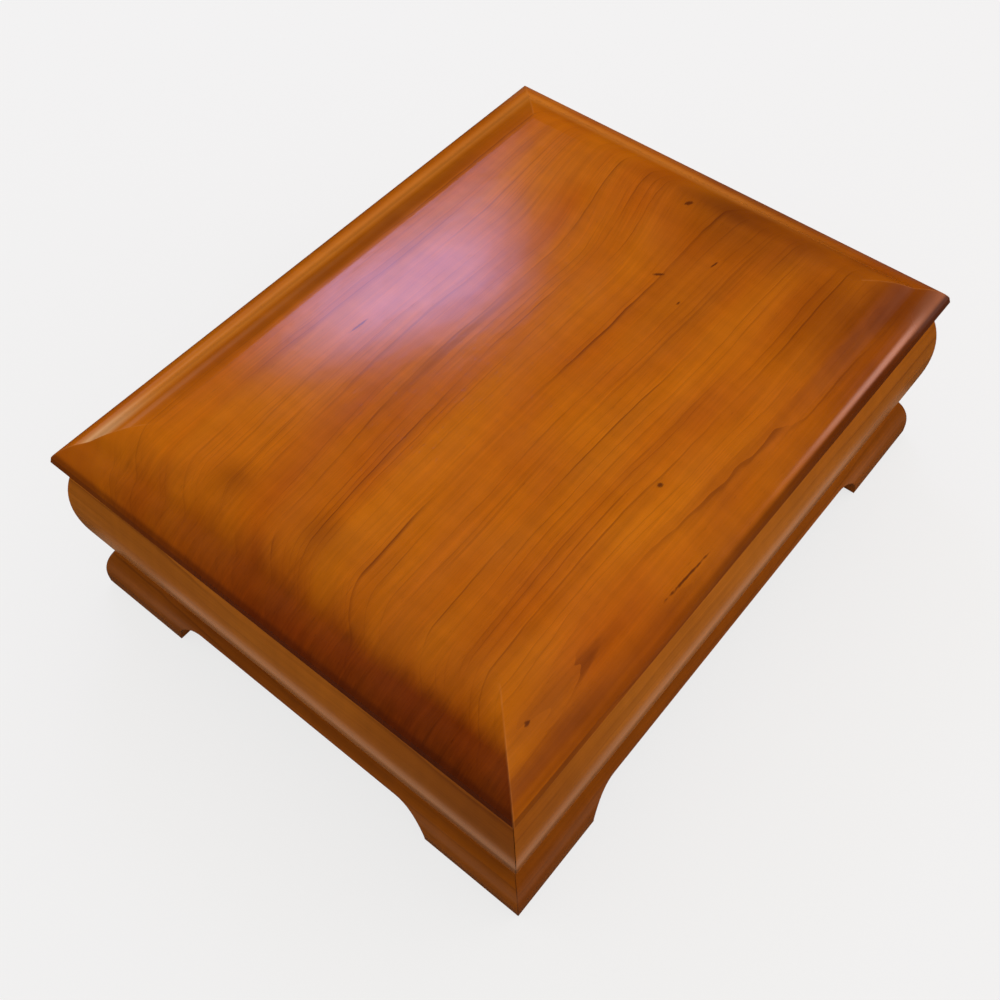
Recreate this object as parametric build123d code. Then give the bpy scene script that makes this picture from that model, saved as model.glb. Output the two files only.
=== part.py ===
from build123d import *
from math import radians, sqrt, tan
import os

# ---------------------------------------------------------------------------------------------
# Frame: +X to the right, +Y to the back, +Z up. The origin is on the ground, under the middle.
# ---------------------------------------------------------------------------------------------

# Lid, a raised panel. Its cross-section runs from the rim over a brim, a bevel and a crest
# to the crowned field.
lid_width = 254.0
lid_depth = 201.5
lid_thickness = 18.5
lid_gap = 0.3
rim_height = 3.4
rim_round = 1.8
brim_width = 7.3
brim_slope = 15.0
cove_round = 14.0
bevel_reach = 21.15
bevel_slope = 35.0
crest_round = 16.0
crest_slope = 8.0
field_inset = 26.0
field_run_out = 1.0

# Body walls, boards with a bulging outer face, mitred at the corners
body_height = 55.6
wall_board = 18.0
bulge_past_lid = 1.1
bulge_radius = 60.0
bulge_height = 27.0
spline_width = 6.0
spline_thickness = 3.0
spline_length = 38.0
spline_inset = 5.0
spline_over_panel = 1.5

# Bottom panel, let into a groove in the walls
panel_thickness = 6.0
groove_height = 4.0
groove_depth = 5.0
groove_play = 0.2
panel_edge_play = 0.5

# Base rails, mitred, with an arch in each that leaves bracket feet
base_height = 21.0
base_board = 18.0
base_past_lid = 1.5
base_flat = 3.0
base_round = 32.0
foot_length = 41.0
arch_height = 14.3
arch_round = 13.5
corner_block_leg = 20.0
corner_block_height = 15.0
foot_pad_radius = 6.0
foot_pad_thickness = 1.0
foot_pad_inset = 9.0

# Base screws, driven up through the rails into the walls
base_screw_length = 15.0
base_screw_shank = 3.0
base_screw_head = 6.0
base_screw_inset = 11.3
base_screw_from_end = 75.0

# Butt hinges, let flush into the back wall and the lid
hinge_length = 38.0
hinge_from_end = 52.0
hinge_axis_inset = 3.4
hinge_leaf_reach = 10.5
hinge_leaf_thickness = 1.5
hinge_barrel_radius = 2.0
hinge_pin_radius = 0.9
hinge_pin_chamfer = 0.2
hinge_knuckles = 5
hinge_knuckle_play = 0.2
hinge_turning_play = 0.15
hinge_barrel_play = 0.3
hinge_leaf_play = 0.25
mortise_play = 0.15
hinge_screw_length = 6.0
hinge_screw_shank = 1.9
hinge_screw_head = 3.6
hinge_screw_pitch = 12.5
hinge_screw_reach = 7.0

# Linings, pad and its board
lining_thickness = 2.0
lining_reveal = 4.0
lid_lining_thickness = 3.0
lid_lining_play = 1.5
pad_play = 1.0
pad_board_thickness = 3.0
pad_thickness = 14.0
pad_edge_round = 3.0
pad_cover_thickness = 0.8

# Screws of both kinds
screw_play = 0.05
screw_tip_play = 0.4
screw_slot_share = 0.22

# How far a cutting shape runs past what it cuts
overrun = 1.0

# ---------------------------------------------------------------------------------------------
# Heights and plan sizes that follow
# ---------------------------------------------------------------------------------------------

base_bottom = foot_pad_thickness
base_top = base_bottom + base_height
body_top = base_top + body_height
lid_bottom = body_top + lid_gap
panel_bottom = base_top + groove_height
floor_top = panel_bottom + panel_thickness

body_width = lid_width + 2 * bulge_past_lid
body_depth = lid_depth + 2 * bulge_past_lid
base_width = lid_width + 2 * base_past_lid
base_depth = lid_depth + 2 * base_past_lid
cavity_width = body_width - 2 * wall_board
cavity_depth = body_depth - 2 * wall_board

hinge_x = lid_width / 2 - hinge_from_end
hinge_y = lid_depth / 2 - hinge_axis_inset
hinge_z = body_top + lid_gap / 2

# The four sides: turn about Z, share of width or depth, and whether the board runs along X
side_turn = {"front": 0, "right": 90, "back": 180, "left": 270}


def runs_along_x(side):
    return side in ("front", "back")


def board_length(side, width, depth):
    return width if runs_along_x(side) else depth


def to_side(side, width, depth):
    """Place of a board whose outer face is at y = 0 and whose length is along X."""
    distance = (depth if runs_along_x(side) else width) / 2
    return Rot(0, 0, side_turn[side]) * Pos(0, -distance, 0)


def block(low, high):
    """A box between two corners."""
    size = [b - a for a, b in zip(low, high)]
    return Pos(*low) * Box(*size, align=(Align.MIN, Align.MIN, Align.MIN))


def mitred_board(outline, length, board):
    """Extrude a cross-section along X, and cut both ends at 45 degrees from the outer face."""
    plan = make_face(
        Polyline(
            (-length / 2, 0),
            (length / 2, 0),
            (length / 2 - board, board),
            (-length / 2 + board, board),
            close=True,
        )
    )
    ends = Pos(0, 0, -overrun) * extrude(plan, body_height + base_height + 2 * overrun)
    stock = extrude(Plane.YZ.offset(-length / 2) * outline, length)
    return stock & ends


# ---------------------------------------------------------------------------------------------
# Screws
# ---------------------------------------------------------------------------------------------


def head_depth_of(head, shank):
    """A countersunk head of 90 degrees."""
    return (head - shank) / 2


def screw_blank(head, shank, length):
    """Countersunk screw without its slot: head face at z = 0, point downwards."""
    head_depth = head_depth_of(head, shank)
    cone = Pos(0, 0, -head_depth / 2) * Cone(shank / 2, head / 2, head_depth)
    return cone + Pos(0, 0, -length / 2) * Cylinder(shank / 2, length)


def slotted_screw(head, shank, length):
    slot_depth = head_depth_of(head, shank) / 2
    slot = Pos(0, 0, -slot_depth / 2) * Box(head, head * screw_slot_share, slot_depth)
    return screw_blank(head, shank, length) - slot


def screw_hole(head, shank, length):
    return screw_blank(head + 2 * screw_play, shank + 2 * screw_play, length + screw_tip_play)


# ---------------------------------------------------------------------------------------------
# Hinges, made about their axis: x along the pin, y = 0 and z = 0 on the axis, leaves towards -Y
# ---------------------------------------------------------------------------------------------

leaf_clear_y = hinge_barrel_radius + hinge_leaf_play
leaf_low = {"body": -lid_gap / 2 - hinge_leaf_thickness, "lid": lid_gap / 2}
knuckle_pitch = hinge_length / hinge_knuckles


def hinge_screw_places():
    """Screw places on one leaf, along X."""
    return [step * hinge_screw_pitch for step in (-1, 0, 1)]


def at_hinge_screw(x, side):
    """Head face of a screw at the leaf's open face: the body's point down, the lid's point up."""
    turn = 0 if side == "body" else 180
    z = -lid_gap / 2 if side == "body" else lid_gap / 2
    return Pos(x, -hinge_screw_reach, z) * Rot(turn, 0, 0)


def hinge_leaf(side):
    low = leaf_low[side]
    high = low + hinge_leaf_thickness
    half = hinge_length / 2
    leaf = block((-half, -hinge_leaf_reach, low), (half, -leaf_clear_y, high))
    bore = hinge_pin_radius if side == "body" else hinge_pin_radius + hinge_turning_play
    first = 0 if side == "body" else 1
    for knuckle in range(first, hinge_knuckles, 2):
        start = -half + knuckle * knuckle_pitch + hinge_knuckle_play / 2
        end = start + knuckle_pitch - hinge_knuckle_play
        barrel = Pos((start + end) / 2, 0, 0) * Rot(0, 90, 0) * Cylinder(hinge_barrel_radius, end - start)
        tab = block((start, -leaf_clear_y, low), (end, 0, high))
        leaf += barrel + tab
    leaf -= Rot(0, 90, 0) * Cylinder(bore, hinge_length + 2 * overrun)
    for x in hinge_screw_places():
        leaf -= at_hinge_screw(x, side) * screw_hole(hinge_screw_head, hinge_screw_shank, hinge_screw_length)
    return leaf


def hinge_pin():
    pin = Rot(0, 90, 0) * Cylinder(hinge_pin_radius, hinge_length)
    return chamfer(pin.edges().filter_by(GeomType.CIRCLE), hinge_pin_chamfer)


def hinge_mortise(side):
    """What the wall or the lid gives up for one leaf, its knuckles and its screws."""
    half = hinge_length / 2 + mortise_play
    reach = hinge_leaf_reach + mortise_play
    low = leaf_low["body"] if side == "body" else -lid_gap
    high = leaf_low["lid"] + hinge_leaf_thickness if side == "lid" else lid_gap
    outer = wall_board if side == "body" else 0
    cut = block((-half, -reach, low), (half, outer, high))
    if side == "lid":
        cut += Rot(0, 90, 0) * Cylinder(hinge_barrel_radius + hinge_barrel_play, 2 * half)
    for x in hinge_screw_places():
        cut += at_hinge_screw(x, side) * screw_hole(hinge_screw_head, hinge_screw_shank, hinge_screw_length)
    return cut


def hinge_places():
    """Each hinge's name and place."""
    return {
        "left": Pos(-hinge_x, hinge_y, hinge_z),
        "right": Pos(hinge_x, hinge_y, hinge_z),
    }


# ---------------------------------------------------------------------------------------------
# Lid
# ---------------------------------------------------------------------------------------------

brim_height = rim_height + brim_width * tan(radians(brim_slope))
bevel_height = brim_height + (bevel_reach - brim_width) * tan(radians(bevel_slope))
field_height = bevel_height + (field_inset - bevel_reach) * tan(radians(crest_slope))


def lid_section(across):
    """Cross-section of the lid over its whole width or depth, before the field is crowned."""
    half = across / 2
    ridge_height = bevel_height + (half - bevel_reach) * tan(radians(crest_slope))
    brim_end = (half - brim_width, brim_height)
    bevel_end = (half - bevel_reach, bevel_height)
    edge = [(half, 0), (half, rim_height), brim_end, bevel_end]
    mirrored = [(-y, z) for y, z in reversed(edge)]
    rounds = [rim_round, cove_round, crest_round]
    top = FilletPolyline(*edge, (0, ridge_height), *mirrored, radius=[*rounds, crest_round, *reversed(rounds)])
    return make_face(Curve() + [top, Line((half, 0), (-half, 0))])


def crown_face():
    """The field's surface, run out a little past the field: level along its edges, highest in the middle."""
    half_x = lid_width / 2 - field_inset + field_run_out
    half_y = lid_depth / 2 - field_inset + field_run_out
    # The middle pole of a patch of three by three counts for a quarter of the height there
    middle = field_height + 4 * (lid_thickness - field_height)
    rows = [
        [(x, y, middle if x == 0 and y == 0 else field_height) for x in (-half_x, 0, half_x)]
        for y in (-half_y, 0, half_y)
    ]
    return Face.make_bezier_surface(rows)


def lid_panel():
    along_x = extrude(Plane.YZ.offset(-lid_width / 2) * lid_section(lid_depth), lid_width)
    along_y = extrude(Plane.XZ.offset(-lid_depth / 2) * lid_section(lid_width), lid_depth)
    above_field = extrude(crown_face(), 2 * lid_thickness, dir=(0, 0, 1))
    panel = Pos(0, 0, lid_bottom) * ((along_x & along_y) - above_field)
    for place in hinge_places().values():
        panel -= place * hinge_mortise("lid")
    return panel


# ---------------------------------------------------------------------------------------------
# Body
# ---------------------------------------------------------------------------------------------


def bulge_inset(height):
    """How far the wall's outer face lies inside its fullest point, at a height over the wall's foot."""
    return bulge_radius - sqrt(bulge_radius**2 - (height - bulge_height) ** 2)


def wall_section():
    face = ThreePointArc((bulge_inset(0), 0), (0, bulge_height), (bulge_inset(body_height), body_height))
    rest = Polyline(face @ 1, (wall_board, body_height), (wall_board, 0), face @ 0)
    section = make_face(Curve() + [face, rest])
    groove = Rectangle(groove_depth, panel_thickness + groove_play, align=(Align.MAX, Align.MIN))
    return section - Pos(wall_board, groove_height) * groove


def corner_splines():
    """Loose tongues across the wall mitres, near the inside corner and over the bottom panel."""
    start = floor_top + groove_play + spline_over_panel
    standing = (Align.CENTER, Align.CENTER, Align.MIN)
    tongue = Box(spline_thickness, spline_width, spline_length, align=standing)
    splines = []
    for side_x in (-1, 1):
        for side_y in (-1, 1):
            x = side_x * (cavity_width / 2 + spline_inset)
            y = side_y * (cavity_depth / 2 + spline_inset)
            turn = 45 * side_x * side_y
            splines.append(Pos(x, y, start) * Rot(0, 0, turn) * tongue)
    return splines


def base_screw_places(side):
    """Places of a rail's screws, along the rail and over its arch."""
    half = board_length(side, base_width, base_depth) / 2 - base_screw_from_end
    head = Pos(0, base_screw_inset, base_bottom + arch_height) * Rot(180, 0, 0)
    return [Pos(x, 0, 0) * head for x in (-half, half)]


def base_screw_holes(side):
    hole = screw_hole(base_screw_head, base_screw_shank, base_screw_length)
    return [to_side(side, base_width, base_depth) * place * hole for place in base_screw_places(side)]


def wall(side):
    length = board_length(side, body_width, body_depth)
    board = mitred_board(wall_section(), length, wall_board)
    board = to_side(side, body_width, body_depth) * Pos(0, 0, base_top) * board
    for cut in corner_splines() + base_screw_holes(side):
        board -= cut
    if side == "back":
        for place in hinge_places().values():
            board -= place * hinge_mortise("body")
    return board


def bottom_panel():
    reach = groove_depth - panel_edge_play
    half_x = cavity_width / 2 + reach
    half_y = cavity_depth / 2 + reach
    return block((-half_x, -half_y, panel_bottom), (half_x, half_y, floor_top))


# ---------------------------------------------------------------------------------------------
# Base
# ---------------------------------------------------------------------------------------------


def base_section():
    """Upright at the foot, then one round up to the top edge."""
    rise = base_height - base_flat
    top_inset = base_round - sqrt(base_round**2 - rise**2)
    half_rise = rise / 2
    middle = (base_round - sqrt(base_round**2 - half_rise**2), base_flat + half_rise)
    face = ThreePointArc((0, base_flat), middle, (top_inset, base_height))
    rest = Polyline(face @ 1, (base_board, base_height), (base_board, 0), (0, 0), (0, base_flat))
    return make_face(Curve() + [face, rest])


def arch(length):
    """The opening under a rail, with its two upper corners rounded."""
    half = length / 2 - foot_length
    corners = [(-half, -overrun), (-half, arch_height), (half, arch_height), (half, -overrun)]
    line = FilletPolyline(*corners, radius=arch_round)
    opening = make_face(Curve() + [line, Line((half, -overrun), (-half, -overrun))])
    return extrude(Plane.XZ.offset(overrun) * opening, -base_board - 2 * overrun)


def base_rail(side):
    length = board_length(side, base_width, base_depth)
    board = mitred_board(base_section(), length, base_board) - arch(length)
    board = to_side(side, base_width, base_depth) * Pos(0, 0, base_bottom) * board
    for cut in base_screw_holes(side):
        board -= cut
    return board


def base_screws():
    screw = slotted_screw(base_screw_head, base_screw_shank, base_screw_length)
    return [
        to_side(side, base_width, base_depth) * place * screw
        for side in side_turn
        for place in base_screw_places(side)
    ]


def corner_blocks():
    """Three-cornered blocks glued behind the base mitres."""
    blocks = []
    inner_x = base_width / 2 - base_board
    inner_y = base_depth / 2 - base_board
    for x in (-1, 1):
        for y in (-1, 1):
            corner = (x * inner_x, y * inner_y)
            plan = make_face(
                Polyline(
                    corner,
                    (corner[0] - x * corner_block_leg, corner[1]),
                    (corner[0], corner[1] - y * corner_block_leg),
                    close=True,
                )
            )
            low = base_top - corner_block_height
            blocks.append(Pos(0, 0, low) * extrude(plan, corner_block_height, dir=(0, 0, 1)))
    return blocks


def foot_pads():
    x = base_width / 2 - foot_pad_inset
    y = base_depth / 2 - foot_pad_inset
    pad = Cylinder(foot_pad_radius, foot_pad_thickness, align=(Align.CENTER, Align.CENTER, Align.MIN))
    return [Pos(side_x * x, side_y * y, 0) * pad for side_x in (-1, 1) for side_y in (-1, 1)]


# ---------------------------------------------------------------------------------------------
# Linings and pad
# ---------------------------------------------------------------------------------------------

lining_bottom = floor_top + lining_thickness
lining_top = body_top - lining_reveal


def floor_lining():
    return block(
        (-cavity_width / 2, -cavity_depth / 2, floor_top), (cavity_width / 2, cavity_depth / 2, lining_bottom)
    )


def wall_lining(side):
    """The front and back linings run the whole width, and the side linings fit between them."""
    whole = board_length(side, cavity_width, cavity_depth)
    length = whole if runs_along_x(side) else whole - 2 * lining_thickness
    sheet = block((-length / 2, 0, lining_bottom), (length / 2, lining_thickness, lining_top))
    return to_side(side, cavity_width, cavity_depth) * sheet


def lid_lining():
    half_x = cavity_width / 2 - lid_lining_play
    half_y = cavity_depth / 2 - lid_lining_play
    return block((-half_x, -half_y, lid_bottom - lid_lining_thickness), (half_x, half_y, lid_bottom))


pad_half_x = cavity_width / 2 - lining_thickness - pad_play
pad_half_y = cavity_depth / 2 - lining_thickness - pad_play
pad_bottom = lining_bottom + pad_board_thickness


def pad_form(inset, low):
    """The padded block, drawn in all round and at the top, from a height up."""
    half_x = pad_half_x - inset
    half_y = pad_half_y - inset
    form = block((-half_x, -half_y, low), (half_x, half_y, pad_bottom + pad_thickness - inset))
    return fillet(form.faces().sort_by(Axis.Z)[-1].edges(), pad_edge_round - inset)


def pad_board():
    half_x = pad_half_x - pad_cover_thickness
    half_y = pad_half_y - pad_cover_thickness
    return block((-half_x, -half_y, lining_bottom), (half_x, half_y, pad_bottom))


def pad_foam():
    return pad_form(pad_cover_thickness, pad_bottom)


def pad_cover():
    return pad_form(0, lining_bottom) - pad_form(pad_cover_thickness, lining_bottom)


# ---------------------------------------------------------------------------------------------
# Nodes
# ---------------------------------------------------------------------------------------------


def hinge_screws(side):
    screw = slotted_screw(hinge_screw_head, hinge_screw_shank, hinge_screw_length)
    return [
        place * at_hinge_screw(x, side) * screw
        for place in hinge_places().values()
        for x in hinge_screw_places()
    ]


nodes = {
    "lid_panel": lid_panel(),
    "bottom_panel": bottom_panel(),
    "wall_splines": corner_splines(),
    "base_corner_blocks": corner_blocks(),
    "base_screws": base_screws(),
    "felt_foot_pads": foot_pads(),
    "hinge_body_screws": hinge_screws("body"),
    "hinge_lid_screws": hinge_screws("lid"),
    "floor_lining": floor_lining(),
    "lid_lining": lid_lining(),
    "pad_board": pad_board(),
    "pad_foam": pad_foam(),
    "pad_cover": pad_cover(),
}
for side in side_turn:
    nodes[f"{side}_wall"] = wall(side)
    nodes[f"{side}_base_rail"] = base_rail(side)
    nodes[f"{side}_lining"] = wall_lining(side)
for name, place in hinge_places().items():
    nodes[f"{name}_hinge_body_leaf"] = place * hinge_leaf("body")
    nodes[f"{name}_hinge_lid_leaf"] = place * hinge_leaf("lid")
    nodes[f"{name}_hinge_pin"] = place * hinge_pin()

os.makedirs("parts", exist_ok=True)
for node, shape in nodes.items():
    solids = shape if isinstance(shape, list) else [shape]
    solids = [solid for piece in solids for solid in piece.solids()]
    export_step(Compound(children=solids) if len(solids) > 1 else solids[0], f"parts/{node}.step")
    print(node, len(solids), round(sum(solid.volume for solid in solids)))
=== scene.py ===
# %% [markdown]
# # A badge display case in cherry
# A small keepsake box: a raised-panel lid, four bulging walls, and a moulded base whose arches leave
# bracket feet. Everything here is built around the imported model, which fixes every size and joint.
# The first cell loads that model.

# %% Load the frame
from math import asin, copysign, cos, degrees, pi, radians, sin, tan

import bmesh
import bpy
from mathutils import Euler, Matrix, Vector


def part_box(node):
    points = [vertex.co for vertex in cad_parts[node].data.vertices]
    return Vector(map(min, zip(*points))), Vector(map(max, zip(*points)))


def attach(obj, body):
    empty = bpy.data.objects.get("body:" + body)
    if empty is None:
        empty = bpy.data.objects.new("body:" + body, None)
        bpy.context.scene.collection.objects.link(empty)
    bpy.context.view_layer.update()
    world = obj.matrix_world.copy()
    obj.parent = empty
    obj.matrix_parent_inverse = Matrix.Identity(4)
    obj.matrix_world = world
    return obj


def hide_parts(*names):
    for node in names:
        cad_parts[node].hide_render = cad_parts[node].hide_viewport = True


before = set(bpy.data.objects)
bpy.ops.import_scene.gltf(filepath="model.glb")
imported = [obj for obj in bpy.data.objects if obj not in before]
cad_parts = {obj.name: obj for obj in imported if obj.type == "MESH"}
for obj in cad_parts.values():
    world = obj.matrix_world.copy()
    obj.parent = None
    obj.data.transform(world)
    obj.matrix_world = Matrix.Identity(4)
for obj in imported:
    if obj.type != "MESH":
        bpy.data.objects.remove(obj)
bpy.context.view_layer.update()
scene = bpy.context.scene
MM = 0.001


def box_mm(node):
    """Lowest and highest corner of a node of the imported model, in millimetres."""
    return [Vector(corner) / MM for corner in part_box(node)]


# %% [markdown]
# ## The camera
# The picture is taken from the front left, looking steeply down. Blender's camera takes its place and
# turn as numbers; it could be aimed at an empty instead, but plain numbers are the same each time.
# A small shift moves the picture without turning the camera, as a view camera's rising front does.

# %% Camera
camera_data = bpy.data.cameras.new("camera")
camera_data.lens = 43.053
camera_data.sensor_width = 36
camera_data.shift_x = -0.0201
camera_data.shift_y = -0.0019
camera = bpy.data.objects.new("camera", camera_data)
camera.location = (-0.21111, -0.17592, 0.40032)
camera.rotation_euler = Euler([radians(angle) for angle in (34.749, 0.659, -50.966)])
scene.collection.objects.link(camera)
scene.camera = camera
print("camera", round(camera.location.z / MM), "mm above the floor")

# %% [markdown]
# ## Nodes without the wiring
# Each material below is a graph of nodes. In the editor one drags wires; in a script a small helper
# that adds a node, sets its values and links its inputs keeps a graph readable. Patterns here work in
# millimetres, so `noise` takes the length of its blotches along each axis.


# %% A helper for shader graphs
class Graph:
    """Adds nodes to one tree. An input is a value, or another node's output to link."""

    def __init__(self, tree):
        self.tree = tree

    def add(self, kind, inputs=None, prefix="ShaderNode", **settings):
        node = self.tree.nodes.new(prefix + kind)
        for name, value in settings.items():
            setattr(node, name, value)
        self.fill(node, inputs or {})
        return node

    def fill(self, node, inputs):
        for place, value in inputs.items():
            if isinstance(value, bpy.types.NodeSocket):
                self.tree.links.new(value, node.inputs[place])
            else:
                node.inputs[place].default_value = value

    def math(self, operation, a, b=0.0, clamp=False):
        return self.add("Math", {0: a, 1: b}, operation=operation, use_clamp=clamp).outputs[0]

    def chain(self, operation, result, *others):
        for other in others:
            result = self.math(operation, result, other)
        return result

    def total(self, *values):
        return self.chain("ADD", *values)

    def times(self, *values):
        return self.chain("MULTIPLY", *values)

    def less(self, value, taken):
        return self.math("SUBTRACT", value, taken)

    def around(self, value, span):
        """A value that wavers about 0.5 becomes one that wavers about nothing, span times as strongly."""
        return self.times(self.less(value, 0.5), span)

    def noise(self, place, size, detail=2.0, roughness=0.5):
        stretched = self.add("VectorMath", {0: place, 1: size}, operation="DIVIDE").outputs[0]
        values = {"Vector": stretched, "Scale": 1.0, "Detail": detail, "Roughness": roughness}
        return self.add("TexNoise", values).outputs[0]

    def noise_along(self, value, size, detail=1.0):
        """Noise that changes along one line only."""
        values = {"W": self.math("DIVIDE", value, size), "Scale": 1.0, "Detail": detail}
        return self.add("TexNoise", values, noise_dimensions="1D").outputs[0]

    def fade(self, value, start, end, low=0.0, high=1.0):
        """Eases from low, where value is at start, to high, where it is at end."""
        values = {0: value, 1: start, 2: end, 3: low, 4: high}
        return self.add("MapRange", values, interpolation_type="SMOOTHSTEP").outputs[0]

    def near(self, value, centre, width):
        """1 where value is at centre, easing to 0 a width away."""
        away = self.math("ABSOLUTE", self.less(value, centre))
        return self.fade(away, 0.0, width, 1.0, 0.0)

    def mix(self, share, a, b, blend="MIX"):
        node = self.add("Mix", {0: share, 6: a, 7: b}, data_type="RGBA", blend_type=blend)
        return node.outputs[2]

    def axes(self, vector):
        return self.add("SeparateXYZ", {0: vector}).outputs

    def place_mm(self, shift=(0, 0, 0), turn=0.0):
        """Object coordinates in millimetres, turned about Z and shifted."""
        coordinates = self.add("TexCoord").outputs["Object"]
        values = {"Vector": coordinates, "Location": shift, "Rotation": (0, 0, turn)}
        return self.add("Mapping", {**values, "Scale": (1 / MM,) * 3}).outputs[0]

    def use(self, group, inputs):
        node = self.add("Group", node_tree=group)
        self.fill(node, inputs)
        return node.outputs


def fresh_graph(owner):
    """The empty graph of a material, a lamp or the world."""
    owner.use_nodes = True
    owner.node_tree.nodes.clear()
    return Graph(owner.node_tree)


print("graph helper ready")

# %% [markdown]
# ## Colours
# Paint charts give colours as bytes on a screen, but light adds up in linear values, so each is turned
# into those first. Linear values could be typed in directly, but then no one could hold a chart to them.

# %% Colours
def tint(red, green, blue):
    """A colour as on a paint chart, 0 to 255, in the linear light that shaders work in."""
    shares = [channel / 255 for channel in (red, green, blue)]
    linear = [c / 12.92 if c <= 0.04045 else ((c + 0.055) / 1.055) ** 2.4 for c in shares]
    return (*linear, 1.0)


print("grey 128 on a chart is", round(tint(128, 128, 128)[0], 3), "in linear light")

# %% [markdown]
# ## Floor and backdrop
# The case stands on a pale sheet that runs out of sight. A plain white floor would need very strong
# light to look white, and that light would also wash out the wood. So the floor glows a little for the
# camera, and the rest of it is a matt surface that still takes the case's shadow.

# %% Floor
PALE = tint(243, 243, 243)
FLOOR_COLOUR = tint(232, 232, 232)
FLOOR_RADIUS, FLOOR_DROP = 4.0, 0.0001
FLOOR_GLOW_SHARE, FLOOR_GLOW = 0.80, 1.04
FLOOR_FADE = (0.7, 2.2)


def seen_directly(graph):
    """1 for rays from the camera, from gloss and through glass."""
    path = graph.add("LightPath").outputs
    seen = graph.math("ADD", path["Is Camera Ray"], path["Is Glossy Ray"])
    return graph.math("ADD", seen, path["Is Transmission Ray"], clamp=True)


def floor_material():
    material = bpy.data.materials.new("pale floor")
    graph = fresh_graph(material)
    place = graph.add("TexCoord").outputs["Object"]
    away = graph.add("VectorMath", {0: place}, operation="LENGTH").outputs["Value"]
    matt = graph.add("BsdfDiffuse", {"Color": FLOOR_COLOUR}).outputs[0]
    glow_strength = graph.fade(away, *FLOOR_FADE, FLOOR_GLOW, 1.0)
    glow = graph.add("Emission", {"Color": PALE, "Strength": glow_strength}).outputs[0]
    share = graph.times(seen_directly(graph), graph.fade(away, *FLOOR_FADE, FLOOR_GLOW_SHARE, 1.0))
    from_above = graph.add("MixShader", {0: share, 1: matt, 2: glow}).outputs[0]
    clear = graph.add("BsdfTransparent").outputs[0]
    from_below = graph.add("NewGeometry").outputs["Backfacing"]
    shown = graph.add("MixShader", {0: from_below, 1: from_above, 2: clear}).outputs[0]
    graph.add("OutputMaterial", {0: shown})
    return material


def object_from(bm, name):
    """Turns a bmesh into an object of the scene, and lets the bmesh go."""
    mesh = bpy.data.meshes.new(name)
    bm.to_mesh(mesh)
    bm.free()
    thing = bpy.data.objects.new(name, mesh)
    scene.collection.objects.link(thing)
    return thing


def stage_piece(name, bm, material):
    piece = object_from(bm, name)
    piece.data.materials.append(material)
    piece.data.shade_smooth()
    return piece


floor_shape = bmesh.new()
bmesh.ops.create_circle(floor_shape, cap_ends=True, segments=96, radius=FLOOR_RADIUS)
bmesh.ops.translate(floor_shape, verts=floor_shape.verts, vec=(0, 0, -FLOOR_DROP))
stage_piece("floor", floor_shape, floor_material())
print("floor", FLOOR_RADIUS, "m")

# %% [markdown]
# ## Soft light from all round
# A room's light comes from everywhere, and more from its windows' side. A world shader does this with
# one gradient; a dozen lamps would cost more time for the same look. The camera, gloss and glass see
# the pale backdrop instead.

# %% World light
BRIGHT_SIDE = Vector((0.62, -0.34, 0.70)).normalized()
FILL_DARK, FILL_BRIGHT = 0.30, 1.05
ROOM_TINT = tint(255, 250, 243)

world = bpy.data.worlds.new("room")
scene.world = world
world.cycles.sampling_method = "NONE"
sky = fresh_graph(world)
direction = sky.add("TexCoord").outputs["Generated"]
toward = sky.add("VectorMath", {0: direction, 1: BRIGHT_SIDE}, operation="DOT_PRODUCT").outputs["Value"]
fill = sky.add("MapRange", {0: toward, 1: -1.0, 2: 1.0, 3: FILL_DARK, 4: FILL_BRIGHT}).outputs[0]
room = sky.add("Background", {"Color": ROOM_TINT, "Strength": fill}).outputs[0]
backdrop = sky.add("Background", {"Color": PALE, "Strength": 1.0}).outputs[0]
shown = sky.add("MixShader", {0: seen_directly(sky), 1: room, 2: backdrop}).outputs[0]
sky.add("OutputWorld", {0: shown})
scene.view_settings.view_transform = "Standard"
print("world from", FILL_DARK, "to", FILL_BRIGHT)

# %% [markdown]
# ## Windows
# The satin lacquer mirrors a broad cool window on the field, and two warm ones, low on the right, along
# the end's bevel and rim. Area lamps show in gloss as their own shape, so each is as large as the window
# it stands for. A lamp's watts are its radiance times its area times pi.

# %% Lamps
LID_MIDDLE = Vector((0, 0, 0.09))
PANE_FADE = (0.14, 0.5)
WINDOWS = [
    # name, azimuth, elevation, distance, size, radiance, colour
    ("window", 52.5, 40.1, 1.1, (0.46, 0.28), 8.4, (0.52, 0.47, 1.0)),
    ("side window", -36, 27, 1.2, (0.34, 0.40), 0.25, (1.0, 0.60, 0.66)),
    ("low side window", -44, 12, 1.2, (0.56, 0.40), 4.5, (1.0, 0.66, 0.60)),
]


def window(name, azimuth, elevation, distance, size, radiance, colour):
    """A soft-edged area lamp that faces the lid. Azimuth 0 is along +X, elevation above the floor."""
    data = bpy.data.lights.new(name, "AREA")
    data.shape = "RECTANGLE"
    data.size, data.size_y = size
    data.energy = radiance * size[0] * size[1] * pi
    data.color = colour
    graph = fresh_graph(data)
    across, up, _ = graph.axes(graph.add("NewGeometry").outputs["Parametric"])
    from_middle = [graph.math("ABSOLUTE", graph.less(share, 0.5)) for share in (across, up)]
    soft = graph.times(*[graph.fade(away, *PANE_FADE, 1.0, 0.0) for away in from_middle])
    graph.add("OutputLight", {0: graph.add("Emission", {"Strength": soft}).outputs[0]})
    lamp = bpy.data.objects.new(name, data)
    azimuth, elevation = radians(azimuth), radians(elevation)
    way = Vector((cos(azimuth) * cos(elevation), sin(azimuth) * cos(elevation), sin(elevation)))
    lamp.location = LID_MIDDLE + distance * way
    lamp.rotation_euler = way.to_track_quat("Z", "Y").to_euler()
    scene.collection.objects.link(lamp)
    print(name, round(data.energy, 2), "W")


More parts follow.
